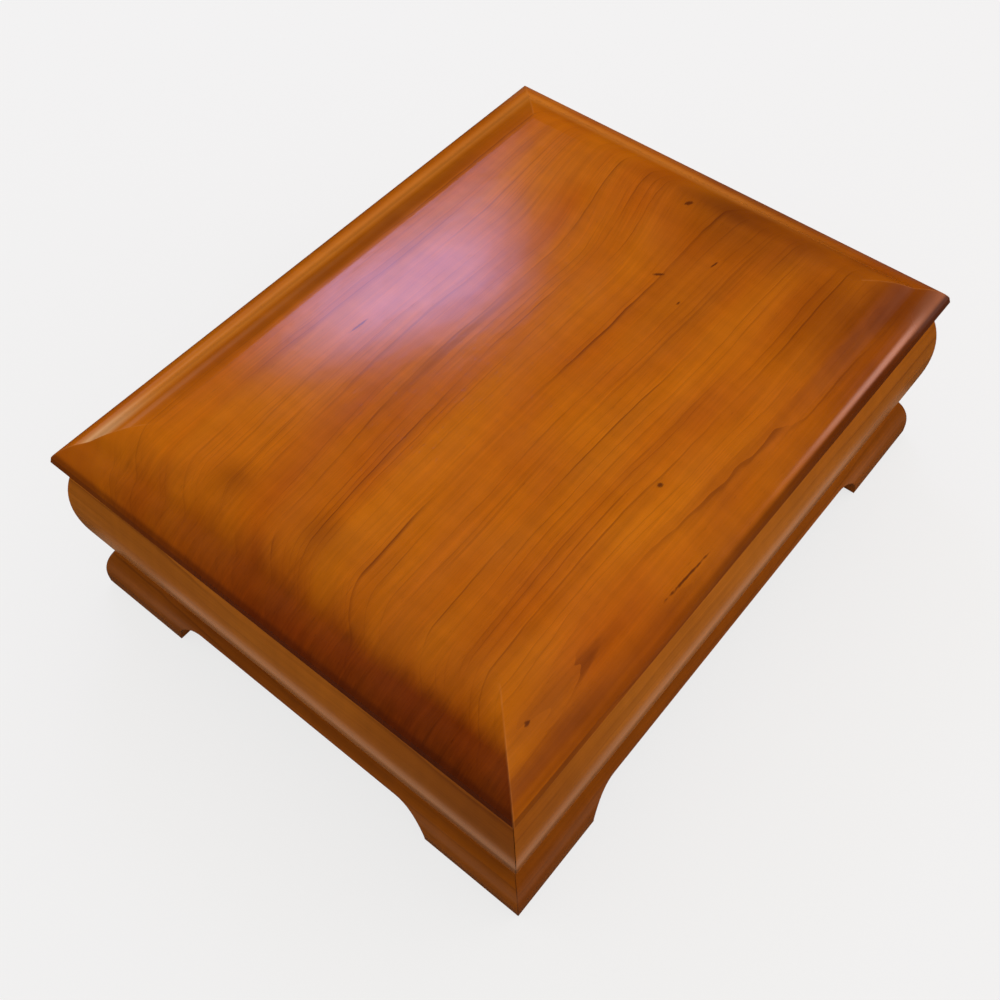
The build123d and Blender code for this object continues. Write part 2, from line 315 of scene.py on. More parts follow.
for values in WINDOWS:
    window(*values)

# %% [markdown]
# ## What the lacquer mirrors
# A glossy surface shows the room as much as itself. Studios hang black flags around dark wood so that
# it keeps its colour. This tent is such a flag: only gloss sees it, so it takes no light away.
# It is one line spun about Z: lighter by the floor near the case, dim further off, paler high up on the
# near side, and with one pale patch low down, for the sill under the window.

# %% Tent material
TENT_START, TENT_PALE_END, TENT_RADIUS, TENT_HEIGHT = 0.06, 0.34, 1.6, 1.7
TENT_LIFT = 0.0005
DARK_CLOTH, DARK_NEAR_CASE = tint(20, 17, 15), tint(92, 72, 56)
FOOT_STARTS, FOOT_ENDS, FOOT_COLOUR = (0.004, 0.010), (0.015, 0.028), tint(182, 144, 116)
DIM_RIGHT, DIM_BACK = (0.09, 0.13, 1.0, 0.4), (0.07, 0.10, 1.0, 0.4)
WALL_TOWARD, WALL_RISE, WALL_COLOUR = (radians(-118), radians(60)), (0.30, 0.60), tint(176, 164, 150)
SILL_TOWARD, SILL_RISE, SILL_GLOW = (radians(96), radians(44)), (0.26, 0.17), 0.4
SILL_TURNS, SILL_COLOURS = (radians(60), radians(80)), (tint(244, 206, 160), tint(226, 200, 180))
base_x, base_y = box_mm("right_base_rail")[1].x * MM, box_mm("back_base_rail")[1].y * MM
print("pale foot from", base_x, base_y)


def tent_material():
    material = bpy.data.materials.new("dim tent")
    graph = fresh_graph(material)
    place = graph.add("TexCoord").outputs["Object"]
    away = graph.add("VectorMath", {0: place}, operation="LENGTH").outputs["Value"]
    colour = graph.mix(graph.fade(away, TENT_START, TENT_PALE_END), DARK_NEAR_CASE, DARK_CLOTH)
    x, y, z = graph.axes(place)
    past_x, past_y = (graph.less(graph.math("ABSOLUTE", p), half) for p, half in ((x, base_x), (y, base_y)))
    beyond = graph.math("MAXIMUM", past_x, past_y)
    foot = graph.times(graph.fade(beyond, *FOOT_STARTS), graph.fade(beyond, *FOOT_ENDS, 1.0, 0.0))
    dim_right, dim_back = graph.fade(x, *DIM_RIGHT), graph.fade(y, *DIM_BACK)
    foot = graph.times(foot, graph.math("MINIMUM", dim_right, dim_back))
    colour = graph.mix(foot, colour, FOOT_COLOUR)
    rise = graph.math("DIVIDE", z, away)
    azimuth = graph.math("ARCTAN2", y, x)
    wall = graph.times(graph.near(azimuth, *WALL_TOWARD), graph.fade(rise, *WALL_RISE))
    colour = graph.mix(wall, colour, WALL_COLOUR)
    sill = graph.times(graph.near(rise, *SILL_RISE), graph.near(azimuth, *SILL_TOWARD))
    colour = graph.mix(sill, colour, graph.mix(graph.fade(azimuth, *SILL_TURNS), *SILL_COLOURS))
    strength = graph.total(graph.times(sill, SILL_GLOW), 1.0)
    # The tent glows with these colours itself and is lit by no lamp: painted surroundings for the gloss to
    # mirror.
    glow = graph.add("Emission", {"Color": colour, "Strength": strength}).outputs[0]
    graph.add("OutputMaterial", {0: glow})
    return material


# %% Tent shape
TENT_SHOULDER = [(TENT_RADIUS, 1.0), (1.1, 1.5), (0, TENT_HEIGHT)]

tent_shape = bmesh.new()
point = tent_shape.verts.new((TENT_START, 0, TENT_LIFT))
for reach, height in [(TENT_PALE_END, TENT_LIFT), (TENT_RADIUS, TENT_LIFT), *TENT_SHOULDER]:
    point = bmesh.ops.extrude_vert_indiv(tent_shape, verts=[point])["verts"][0]
    point.co = (reach, 0, height)
bmesh.ops.spin(
    tent_shape, geom=tent_shape.edges[:], cent=(0, 0, 0), axis=(0, 0, 1), angle=2 * pi, steps=64,
    use_merge=True,
)
bmesh.ops.remove_doubles(tent_shape, verts=tent_shape.verts, dist=1e-6)
tent = stage_piece("tent", tent_shape, tent_material())
tent.visible_camera = tent.visible_diffuse = tent.visible_shadow = tent.visible_transmission = False
print("tent", TENT_RADIUS, "m")

# %% [markdown]
# ## Patterns that materials share
# Wood figure, tarnish or felt comes in several tones. The nodes could be copied into each material, but
# then a correction has to be made in every copy. A node group with named inputs is built once, and every
# group here is given a place in millimetres.

# %% Group helpers
FINISH = {"Color": "Color", "Roughness": "Float", "Height": "Float"}


def new_group(name, inputs, outputs):
    """A group, the graph inside it and the values it is given. Outputs are names with Color or Float."""
    tree = bpy.data.node_groups.new(name, "ShaderNodeTree")
    for label, value in {"Place": (0.0, 0.0, 0.0), **inputs}.items():
        kind = "Float" if isinstance(value, float) else {3: "Vector", 4: "Color"}[len(value)]
        socket = tree.interface.new_socket(label, in_out="INPUT", socket_type="NodeSocket" + kind)
        socket.default_value = value
    for label, kind in outputs.items():
        tree.interface.new_socket(label, in_out="OUTPUT", socket_type="NodeSocket" + kind)
    graph = Graph(tree)
    return tree, graph, graph.add("GroupInput", prefix="Node").outputs


def finish_group(graph, results):
    graph.add("GroupOutput", results, prefix="Node")
    print("group", graph.tree.name, len(graph.tree.nodes), "nodes")


print("a finish is", *FINISH)

# %% [markdown]
# ## How cherry grows
# A board is cut out of nested growth rings. The ring surfaces are nearly flat over a small board, run
# along the grain, lean against the face and waver. So the figure is worked out in depth: each point's
# distance across the rings decides its shade. The pattern then wraps over bevels as real grain does,
# which a flat picture on the faces can't do.

# %% Cherry figure
YEARS_ALIKE, UNEVENNESS = 2.9, 3.4

figure_group, wood, given = new_group(
    "cherry figure",
    {
        "Lean": 1.4, "Line strength": 1.0, "Fibre strength": 1.0, "End grain": 0.0,
        "Pale": tint(190, 110, 24), "Deep": tint(165, 78, 10), "Line": tint(96, 38, 8),
    },
    FINISH,
)
place = given["Place"]
x, y, z = wood.axes(place)
wander = wood.around(wood.noise(place, (200, 70, 70), detail=1.0), 14.0)
waver = wood.around(wood.noise(place, (44, 13, 13), detail=2.0), 3.2)
tremble = wood.around(wood.noise(place, (8, 3, 3), detail=1.0), 0.5)
across = wood.total(wood.less(y, wood.times(z, given["Lean"])), wander, waver, tremble)


def year_lines(width, seed, fade_from, line_share):
    """Each year's wood darkens slowly and ends in a thin line. Some years are wide and some narrow."""
    uneven = wood.around(wood.noise_along(wood.total(across, seed), YEARS_ALIKE * width), UNEVENNESS)
    year = wood.math("FRACT", wood.total(wood.math("DIVIDE", across, width), uneven))
    late = wood.times(wood.fade(year, fade_from, 1.0), line_weight)
    return late, wood.times(wood.fade(year, 1.0 - 2 * line_share, 1.0 - line_share), line_weight)


come_and_go = wood.fade(wood.noise(place, (90, 9, 9), detail=1.0), 0.36, 0.60, 0.15, 1.0)
line_weight = wood.times(wood.fade(wood.noise_along(across, 13.0), 0.36, 0.60, 0.25, 1.0), come_and_go)
late_wood, main_lines = year_lines(11.0, 0.0, 0.45, 0.035)
late_wood_between, thin_lines = year_lines(3.7, 400.0, 0.30, 0.08)
lines = wood.total(
    wood.times(main_lines, 0.38), wood.times(late_wood, 0.20),
    wood.times(thin_lines, 0.24), wood.times(late_wood_between, 0.09),
)
lines = wood.math("MULTIPLY", lines, given["Line strength"], clamp=True)
print("growth lines", len(wood.tree.nodes), "nodes")

# %% Cherry colour and fibres
bands = wood.around(wood.noise_along(across, 17.0, detail=2.0), 1.1)
blotches = wood.around(wood.noise(place, (60, 34, 34), detail=2.0), 1.6)
depth = wood.math("ADD", wood.total(bands, blotches), 0.5, clamp=True)
ground = wood.mix(depth, given["Pale"], given["Deep"])

fibres = wood.around(wood.noise(place, (24, 0.7, 5.0), detail=3.0, roughness=0.6), 0.40)
strands = wood.around(wood.noise(place, (70, 2.4, 12.0), detail=2.0), 0.30)
ripple = wood.around(wood.noise(place, (5, 17, 17), detail=2.0), 0.22)
pores = wood.fade(wood.noise(place, (3.2, 0.32, 1.6), detail=1.0), 0.66, 0.78)
fibres, strands, pores = (wood.times(part, given["Fibre strength"]) for part in (fibres, strands, pores))
darker = wood.total(wood.times(pores, 0.16), wood.times(given["End grain"], 0.34))
shade = wood.less(wood.total(fibres, strands, ripple, 1.0), darker)
grey = wood.add("CombineColor", {0: shade, 1: shade, 2: shade}).outputs[0]
toned = wood.mix(1.0, ground, grey, blend="MULTIPLY")
toned = wood.mix(given["End grain"], toned, wood.mix(1.0, toned, tint(196, 158, 122), blend="MULTIPLY"))
coloured = wood.mix(lines, toned, given["Line"])

roughness = wood.total(wood.around(wood.noise(place, (26, 15, 15), detail=3.0), 0.12), 0.155)
height = wood.total(
    wood.times(fibres, 0.20), wood.times(pores, -0.3), wood.times(lines, -0.3),
    wood.around(wood.noise(place, (9, 5, 5), detail=1.0), 1.6),
)
finish_group(wood, {"Color": coloured, "Roughness": roughness, "Height": height})

# %% [markdown]
# ## Marks that make one board itself
# Cherry has small dark gum flecks and pin knots. They could be random, but a handful of named places
# looks more like a real board. The group makes one soft, ragged spot, long along the grain.

# %% Mark group
mark_group, spot, given = new_group(
    "gum mark",
    {"Centre": (0.0, 0.0, 0.0), "Half length": 2.0, "Half width": 0.5, "Turn": 0.0},
    {"Mask": "Float"},
)
offset = spot.add("VectorMath", {0: given["Place"], 1: given["Centre"]}, operation="SUBTRACT").outputs[0]
turned = spot.add("VectorRotate", {"Vector": offset, "Angle": given["Turn"]}, rotation_type="Z_AXIS")
x, y, _ = spot.axes(turned.outputs[0])
along = spot.math("DIVIDE", x, given["Half length"])
sideways = spot.math("DIVIDE", y, given["Half width"])
reach = spot.math("SQRT", spot.total(spot.times(along, along), spot.times(sideways, sideways)))
ragged = spot.total(reach, spot.around(spot.noise(given["Place"], (1.6, 0.5, 0.5)), 1.2))
finish_group(spot, {"Mask": spot.fade(ragged, 0.35, 1.0, 1.0, 0.0)})

# %% [markdown]
# ## Mitre lines and pale arrises
# Where two sides meet at 45 degrees, glue and stain leave a fine line on the walls and base, and on the
# lid the ridge is painted a little paler. Both follow the same planes, so one group gives the distance
# from the nearest mitre plane of a rectangle of any size.

# %% Mitre group
mitre_group, mitre, given = new_group(
    "mitre distance",
    {"Half width": 127.0, "Half depth": 100.0, "Width": 0.4, "Reach": 26.0},
    {"Mask": "Float", "On end": "Float", "Inset": "Float"},
)
x, y, _ = mitre.axes(given["Place"])
from_end = mitre.less(given["Half width"], mitre.math("ABSOLUTE", x))
from_side = mitre.less(given["Half depth"], mitre.math("ABSOLUTE", y))
gap = mitre.math("ABSOLUTE", mitre.less(from_end, from_side))
broken = mitre.fade(mitre.noise(given["Place"], (4, 4, 4)), 0.30, 0.60, 0.45, 1.0)
line = mitre.fade(mitre.math("DIVIDE", gap, given["Width"]), 0.4, 1.0, 1.0, 0.0)
within = mitre.math("LESS_THAN", from_end, given["Reach"])
finish_group(mitre, {
    "Mask": mitre.times(line, broken, within),
    "On end": mitre.math("LESS_THAN", from_end, from_side),
    "Inset": mitre.math("MINIMUM", from_end, from_side),
})

# %% [markdown]
# ## One shader for each material
# A finish could be mixed from several shaders. One Principled shader covers wood, metal and cloth alike:
# plain values are typed on its own sockets, and only patterns are linked.

# %% Material helpers
def new_material(name, **constants):
    """A material with one Principled shader, and the shader's plain values set on its own sockets."""
    material = bpy.data.materials.new(name)
    graph = fresh_graph(material)
    shader = graph.add("BsdfPrincipled", {k.replace("_", " "): v for k, v in constants.items()})
    graph.add("OutputMaterial", {0: shader.outputs[0]})
    return material, graph, shader


def dress(graph, shader, bump_depth=0.0, **links):
    """Link results to the shader; Height goes through a Bump node whose depth is in millimetres."""
    for name, socket in links.items():
        if name == "Height":
            bump = graph.add("Bump", {"Height": socket, "Strength": 1.0, "Distance": bump_depth * MM})
            graph.tree.links.new(bump.outputs[0], shader.inputs["Normal"])
        else:
            graph.tree.links.new(socket, shader.inputs[name.replace("_", " ")])


print("helpers ready")

# %% [markdown]
# ## The cherry materials
# All nine boards share the figure, each with its own tones. The lid is the widest, and it is seen best.
# Stain soaks into end grain, so its ends come out darker. On the lid the left end is painted darker than the
# right, which is painted shade, and all ends darker towards the rim, which is stain and painted shade
# together. They could be faces with a second material, but that would show a hard edge. The mitre group's "On
# end" tells where they are, and noise frays it.

# %% Places of marks and stain
LID_BOX = box_mm("lid_panel")
LID_MARKS = [
    # centre x, centre y, half length, half width, turn
    (-27, 49.5, 5.5, 0.55, 0.06),
    (-17, -70.5, 1.5, 1, 0.2),
    (57, -17.5, 2.6, 0.9, 0.9),
    (74, -30, 3, 0.5, 0.1),
    (50, -31, 1.4, 0.5, 0),
    (-104, -87, 1.6, 0.8, 0),
    (-35, -94, 15, 0.5, 0.03),
    (96, -4, 2.4, 1.4, 0.4),
]
MARK_COLOUR, MARK_STRENGTH = tint(62, 18, 6), 0.75
STAIN_AND_SHADE_COLOUR = tint(84, 26, 3)
# Bands of stain and painted shade: they darken the brims and bevels where stain gathers and where the lacquer
# would mirror a dark room.
STAIN_AND_SHADE_BANDS = [
    # side, distance from its edge, half width, middle along it, half length, strength
    ("front", 4, 7, -50, 170, 0.36),
    ("front", 13, 13.5, 98, 34, 0.60),
    ("front", 11, 16, 116, 34, 0.45),
    ("front", 4, 7, 84, 90, 0.40),
    ("front", 13, 14, -112, 30, 0.26),
    ("front", 4.5, 4.5, -114, 52, 0.62),
    ("back", 20.5, 7, 5, 150, 0.46),
    ("back", 24, 4.5, 5, 150, 0.36),
    ("back", 2, 7, 10, 190, 0.24),
    ("right", 19, 11, -36, 58, 0.50),
    ("right", 25, 8, -20, 70, 0.42),
    ("right", 4, 11, -20, 60, 0.44),
    ("right", 6, 18, -96, 60, 0.15),
]
FIELD_CLOUDS = [
    # centre x, centre y, half length, half width, strength
    (80, -76, 50, 26, 0.44),
    (46, -34, 34, 26, 0.20),
    (88, -24, 48, 42, 0.27),
    (-100, -50, 26, 120, 0.14),
    (74, -88, 26, 14, 0.26),
    (-99, 36, 11, 13, 0.36),
    (-98, -2, 14, 15, 0.30),
    (98, -34, 24, 64, 0.32),
]


def cherry(name, pale, deep, line, shine=0.5):
    """A lacquered cherry to go on with, and its tones for the figure group."""
    material, graph, shader = new_material(name, IOR=1.5, Specular_IOR_Level=shine)
    return material, graph, shader, {"Pale": tint(*pale), "Deep": tint(*deep), "Line": tint(*line)}


print("lid", round(LID_BOX[1].x * 2), "by", round(LID_BOX[1].y * 2), "mm")

# %% Grain of the lid
LID_TONES = (202, 112, 4), (178, 86, 2), (96, 36, 5)
# Each change: where it starts and ends, and its values there if they aren't 0 and 1
SOAKED_INSET, SOAKED_DEPTH = (25.0, 8.0, 0.0, 0.50), (-4.0, -16.0, 0.0, 0.35)
SOAKED_RIM, SOAKED_FRONT = (-5.0, -13.0), (40.0, -90.0, 0.0, 0.75)
SHADE_EASES_TO_BACK, SHADE_EASES_TO_RIGHT = (95.0, 15.0, 0.40, 1.0), (-10.0, 10.0, 1.0, 0.25)
FAR_RIGHT, FAR_BACK, FAINT_LEFT = (96.0, 106.0), (72.0, 82.0), (-92.0, -108.0, 1.0, 0.45)
SWERVE, SWERVE_BAND = (40.0, 108.0, 0.0, 15.0), (24.0, 60.0)

lid_cherry, graph, shader, tones = cherry("lid cherry", *LID_TONES)
lid_place = graph.place_mm(shift=(0, 0, -LID_BOX[1].z))
lid_x, lid_y, lid_z = graph.axes(lid_place)
underside = LID_BOX[0].z - LID_BOX[1].z
upper = graph.fade(lid_z, underside + 0.01, underside + 0.08)
half_sizes = {"Half width": LID_BOX[1].x, "Half depth": LID_BOX[1].y}
moulding = graph.use(mitre_group, {"Place": lid_place, **half_sizes, "Width": 0.6})
inset = moulding["Inset"]
tongues = graph.around(graph.noise(lid_place, (34, 9, 9), detail=2.0), 12.0)
# End grain takes up stain. The drop towards the rim (lid_z) is drawn darker still, which is painted shade as
# well as stain.
soaked_and_shaded = graph.total(
    graph.fade(graph.total(inset, tongues), *SOAKED_INSET),
    graph.fade(lid_z, *SOAKED_DEPTH),
    graph.times(graph.fade(lid_z, *SOAKED_RIM), graph.fade(lid_y, *SOAKED_FRONT)),
)
# Painted shade: the left end is drawn darker than the right, and lighter towards the back, because the
# windows light the case from the back right.
less_shade_at_back, less_shade_at_right = graph.fade(lid_y, *SHADE_EASES_TO_BACK), graph.fade(lid_x, *SHADE_EASES_TO_RIGHT)
end_grain_and_shade = graph.times(soaked_and_shaded, less_shade_at_back, less_shade_at_right, moulding["On end"], upper)
swerve = graph.times(graph.fade(lid_x, *SWERVE), graph.near(lid_y, *SWERVE_BAND))
grain_place = graph.add("CombineXYZ", {0: lid_x, 1: graph.less(lid_y, swerve), 2: lid_z}).outputs[0]
far_sides = graph.math("MAXIMUM", graph.fade(lid_x, *FAR_RIGHT), graph.fade(lid_y, *FAR_BACK))
line_strength = graph.total(graph.times(far_sides, -0.75), 1.0)
line_strength = graph.times(line_strength, graph.fade(lid_x, *FAINT_LEFT))
figure = graph.use(figure_group, {
    "Place": grain_place, "Lean": 1.4, "Line strength": line_strength, "End grain": end_grain_and_shade,
    "Fibre strength": graph.total(graph.times(far_sides, -0.9), 1.0), **tones,
})
colour = figure["Color"]
print("lid grain", len(graph.tree.nodes), "nodes")

# %% [markdown]
# ## Stain and painted shade on the lid
# Stain gathers in the hollows of a moulding. The dark bands here are that stain and also painted shade, where
# the brims and bevels would mirror a dark room. All this could be painted on an image, but bands that keep a
# set distance from one edge follow the moulding at any size. A band stops at the mitres, where another edge
# is
# nearer. Places are in millimetres: x and y from the lid's middle, z down from its top, inset from an edge.

# %% Marks, stain and painted shade
from_edge = {
    "front": graph.total(lid_y, LID_BOX[1].y),
    "back": graph.less(LID_BOX[1].y, lid_y),
    "right": graph.less(LID_BOX[1].x, lid_x),
}
just_past = graph.total(inset, 0.01)
nearest = {side: graph.math("LESS_THAN", distance, just_past) for side, distance in from_edge.items()}

for x, y, half_length, half_width, turn in LID_MARKS:
    mark = {"Centre": (x, y, 0), "Half length": half_length, "Half width": half_width, "Turn": turn}
    mask = graph.use(mark_group, {"Place": lid_place, **mark})["Mask"]
    colour = graph.mix(graph.times(mask, upper, MARK_STRENGTH), colour, MARK_COLOUR)
clouds = graph.noise(lid_place, (34, 30, 9), detail=2.0)
uneven = graph.times(graph.fade(clouds, 0.28, 0.56, 0.65, 1.0), upper)
for side, far, width, middle, half_length, strength in STAIN_AND_SHADE_BANDS:
    on_length = graph.near(lid_y if side == "right" else lid_x, middle, half_length)
    band = graph.times(graph.near(from_edge[side], far, width), on_length, nearest[side], uneven, strength)
    colour = graph.mix(band, colour, STAIN_AND_SHADE_COLOUR)
for x, y, half_length, half_width, strength in FIELD_CLOUDS:
    cloud = graph.times(graph.near(lid_x, x, half_length), graph.near(lid_y, y, half_width), uneven, strength)
    colour = graph.mix(cloud, colour, STAIN_AND_SHADE_COLOUR)
print(len(LID_MARKS), "marks,", len(STAIN_AND_SHADE_BANDS), "bands,", len(FIELD_CLOUDS), "clouds")

# %% Painted brim sheen, painted rim shade and ridges
BRIM_SHEEN, BRIM_PEACH_SHEEN = tint(232, 146, 58), tint(224, 168, 112)
RIM_SHADE_COLOUR, RIDGE_PALE, RIDGE_SHARE = tint(66, 18, 4), tint(206, 128, 58), 0.22
LID_RELIEF, END_RIM_SHADE = 0.02, 0.50
# Changes again: start, end, and the values there
BRIM_SHEEN_BEGINS, BRIM_SHEEN_ENDS = (7.0, 10.5), (18.5, 14.0)
SHEEN_BACK, SHEEN_RIGHT, PEACH_SHEEN_LEFT = (-70.0, -112.0, 0.42, 0.85), (-80.0, 10.0, 0.0, 0.42), (-84.0, -112.0)
RIM_SHADE_DEPTH, RIM_SHADE_RIGHT = (-13.2, -14.9), (-80.0, 60.0, 0.30, 0.80)
RIM_FOOT_SHADE_DEPTH, RIM_FOOT_SHADE_LEFT = (-15.2, -16.1), (-60.0, -108.0, 0.0, 0.62)
CALM_EDGE, WORN_RIGHT, WORN_INSET = (20.0, 30.0, 0.06, 1.0), (92.0, 120.0, 0.0, 0.3), (9.0, 5.0)

# Painted sheen: the brims at the back and right are painted paler, and peach towards the far left, where they
# would mirror the pale room at a glancing angle.
back_sheen_share = graph.times(graph.fade(lid_x, *SHEEN_BACK), nearest["back"])
right_sheen_share = graph.times(graph.fade(lid_y, *SHEEN_RIGHT), nearest["right"])
brim_sheen_share = graph.math("MAXIMUM", back_sheen_share, right_sheen_share)
painted_brim_sheen = graph.times(graph.fade(inset, *BRIM_SHEEN_BEGINS), graph.fade(inset, *BRIM_SHEEN_ENDS), brim_sheen_share, upper)
brim_sheen_tone = graph.mix(graph.fade(lid_x, *PEACH_SHEEN_LEFT), BRIM_SHEEN, BRIM_PEACH_SHEEN)
colour = graph.mix(painted_brim_sheen, colour, brim_sheen_tone)
# Painted shade: the rim's outer face, turned sideways and down over the gap to the walls, is painted dark,
# more to the right and on the ends, and low on the rim at the left.
end_rim_shade_share = graph.times(moulding["On end"], END_RIM_SHADE)
rim_shade_share = graph.math("MAXIMUM", graph.fade(lid_x, *RIM_SHADE_RIGHT), end_rim_shade_share)
rim = graph.times(graph.fade(lid_z, *RIM_SHADE_DEPTH), rim_shade_share)
rim_foot_shade = graph.times(graph.fade(lid_z, *RIM_FOOT_SHADE_DEPTH), graph.fade(lid_x, *RIM_FOOT_SHADE_LEFT))
colour = graph.mix(graph.times(graph.math("MAXIMUM", rim, rim_foot_shade), upper), colour, RIM_SHADE_COLOUR)
colour = graph.mix(graph.times(moulding["Mask"], upper, RIDGE_SHARE), colour, RIDGE_PALE)
relief = graph.times(figure["Height"], graph.fade(inset, *CALM_EDGE))
worn_tip = graph.times(graph.fade(lid_x, *WORN_RIGHT), graph.fade(inset, *WORN_INSET))
satin = graph.total(figure["Roughness"], worn_tip)
dress(graph, shader, LID_RELIEF, Base_Color=colour, Roughness=satin, Height=relief)
print("lid cherry", len(graph.tree.nodes), "nodes")

# %% [markdown]
# ## Walls and base
# The eight boards below the lid share one recipe. One material for all of them would show the same lines
# on every side, so each is cut from its own place in the tree and turned so that its grain runs along
# it. A fine glue line shows at the mitres, and the walls are painted darker towards the front left corner, as
# painted shade.

# %% Wall and base materials
SIDES = {"front": 0, "right": 90, "back": 180, "left": 270}
PAINTED_CORNER_SHADE, CORNER_REACH = {"left": 0.46, "front": 0.24}, (15.0, 80.0)
CUT_FROM = {"front": (31, 40, 7), "right": (-160, 96, 55), "back": (320, -70, 22), "left": (90, 210, -40)}
WALL_TONES = (180, 104, 24), (158, 84, 10), (96, 42, 6)
BASE_TONES = (146, 76, 8), (114, 54, 6), (70, 28, 5)
GLUE_LINE, GLUE_SHARE = tint(58, 24, 8), 0.6
BOARD_RELIEF = 0.006


def board_cherry(part, side, shine, palette):
    """The material of one mitred board: grain along it, a fine dark line at its mitres, and on two walls
    painted shade near the front left corner.
    """
    material, graph, shader, tones = cherry(f"{side} {part} cherry", *palette, shine)
    along, depth, height = graph.axes(graph.place_mm(shift=CUT_FROM[side], turn=-radians(SIDES[side])))
    grain_place = graph.add("CombineXYZ", {0: along, 1: height, 2: depth}).outputs[0]
    figure = graph.use(figure_group, {"Place": grain_place, "Lean": 0.5, "Line strength": 0.7, **tones})
    corner = box_mm(f"left_{part}")[0].x, box_mm(f"front_{part}")[0].y
    sizes = {"Half width": -corner[0], "Half depth": -corner[1], "Width": 0.3}
    glue_line = graph.use(mitre_group, {"Place": graph.place_mm(), **sizes})["Mask"]
    colour = figure["Color"]
    # Painted shade: the front and left walls are painted darker towards their shared corner, which stands
    # under the lid's overhang.
    if part == "wall" and side in PAINTED_CORNER_SHADE:
        x, y, _ = graph.axes(graph.place_mm())
        from_corner = graph.less(graph.total(x, y), sum(corner))
        shade = graph.fade(from_corner, *CORNER_REACH, PAINTED_CORNER_SHADE[side], 0.0)
        colour = graph.mix(shade, colour, STAIN_AND_SHADE_COLOUR)
    colour = graph.mix(graph.times(glue_line, GLUE_SHARE), colour, GLUE_LINE)
    roughness, height = figure["Roughness"], figure["Height"]
    dress(graph, shader, BOARD_RELIEF, Base_Color=colour, Roughness=roughness, Height=height)
    return material


wall_cherry = {side: board_cherry("wall", side, 0.5, WALL_TONES) for side in SIDES}
base_cherry = {side: board_cherry("base_rail", side, 0.2, BASE_TONES) for side in SIDES}
print("board materials", len(wall_cherry) + len(base_cherry))

# %% [markdown]
# ## Drawing sections like a turtle
# Joiners shape mouldings with cutters, so a moulding is one cross-section carried along a board. The
# section could be a list of points, but a pen that walks forward and turns on a radius says what the
# cutter does: a straight, a cove, a round. `extrude_vert_indiv` draws the straights and `spin` the arcs.


# %% A pen for cross-sections
class SectionPen:
    """Draws in the YZ plane, in millimetres. Y is the inset from the outer face, and Z the height."""

    def __init__(self, start, heading):
        self.bm = bmesh.new()
        self.first = self.tip = self.bm.verts.new((0, *start))
        self.heading = radians(heading)

    def line_to(self, inset, height):
        self.tip = bmesh.ops.extrude_vert_indiv(self.bm, verts=[self.tip])["verts"][0]
        self.tip.co = (0, inset, height)

    def forward(self, length):
        place = self.tip.co + length * Vector((0, cos(self.heading), sin(self.heading)))
        self.line_to(place.y, place.z)

    def turn(self, angle, radius, steps):
        """Walks round an arc. A positive angle, in degrees, turns left."""
        to_left = Vector((0, -sin(self.heading), cos(self.heading)))
        centre = self.tip.co + copysign(radius, angle) * to_left
        arc = bmesh.ops.spin(
            self.bm, geom=[self.tip], cent=centre, axis=(1, 0, 0), angle=radians(angle), steps=steps
        )
        self.tip = arc["geom_last"][0]
        self.heading += radians(angle)

    def close(self):
        self.bm.edges.new((self.tip, self.first))
        return self.bm


def tangent(angle, radius):
    """How much of each straight a round with that turn takes up."""
    return radius * tan(radians(abs(angle)) / 2)


print("pen ready")

# %% [markdown]
# ## From a section to a mitred frame
# Four lengths of moulding meet at the corners in mitres, cut at 45 degrees. Here the section is
# extruded along X, and `bisect_plane` is the mitre saw. A solid moulding gets its cut ends filled.

# %% Mitred runs
def everything(bm):
    return bm.verts[:] + bm.edges[:] + bm.faces[:]


def only(kind, elements):
    return [element for element in elements if isinstance(element, kind)]


def extruded(section, length):
    """Carry a section along X, evenly about x = 0."""
    run = section.copy()
    bmesh.ops.translate(run, verts=run.verts, vec=(-length / 2, 0, 0))
    made = bmesh.ops.extrude_edge_only(run, edges=run.edges[:])
    bmesh.ops.translate(run, verts=only(bmesh.types.BMVert, made["geom"]), vec=(length, 0, 0))
    return run


def mitred_run(section, length, solid):
    """A section carried along X and sawn at both ends, 45 degrees from the outer face."""
    run = extruded(section, length)
    for end in (-1, 1):
        cut = bmesh.ops.bisect_plane(
            run, geom=everything(run), dist=1e-5, plane_co=(end * length / 2, 0, 0), plane_no=(end, 1, 0),
            clear_outer=True,
        )
        if solid:
            bmesh.ops.edgenet_fill(run, edges=only(bmesh.types.BMEdge, cut["geom_cut"]))
    return run


def run_length(side, half_width, half_depth):
    return 2 * (half_depth if side in ("left", "right") else half_width)


def to_side(bm, side, half_width, half_depth, height):
    """Moves a run from the outer face at y = 0 to its side of the case."""
    distance = half_width if side in ("left", "right") else half_depth
    matrix = Matrix.Rotation(radians(SIDES[side]), 4, "Z") @ Matrix.Translation((0, -distance, height))
    bmesh.ops.transform(bm, matrix=matrix, verts=bm.verts)


print("sides", *SIDES)

# %% [markdown]
# ## Blocks, cuts and soft edges
# Hinge beds and arches are cut out of the boards. A Boolean modifier does what a router does, and a
# bmesh that is taken from the evaluated object keeps its result. No real edge is sharp, so a small bevel
# eases each. A flat face that has to bend is first sliced into cells.

# %% Blocks, cuts and soft edges
SHARPER_THAN = radians(50)


def box_between(low, high):
    bm = bmesh.new()
    bmesh.ops.create_cube(bm, size=1)
    low, high = Vector(low), Vector(high)
    bmesh.ops.scale(bm, verts=bm.verts, vec=high - low)
    bmesh.ops.translate(bm, verts=bm.verts, vec=(low + high) / 2)
    return bm


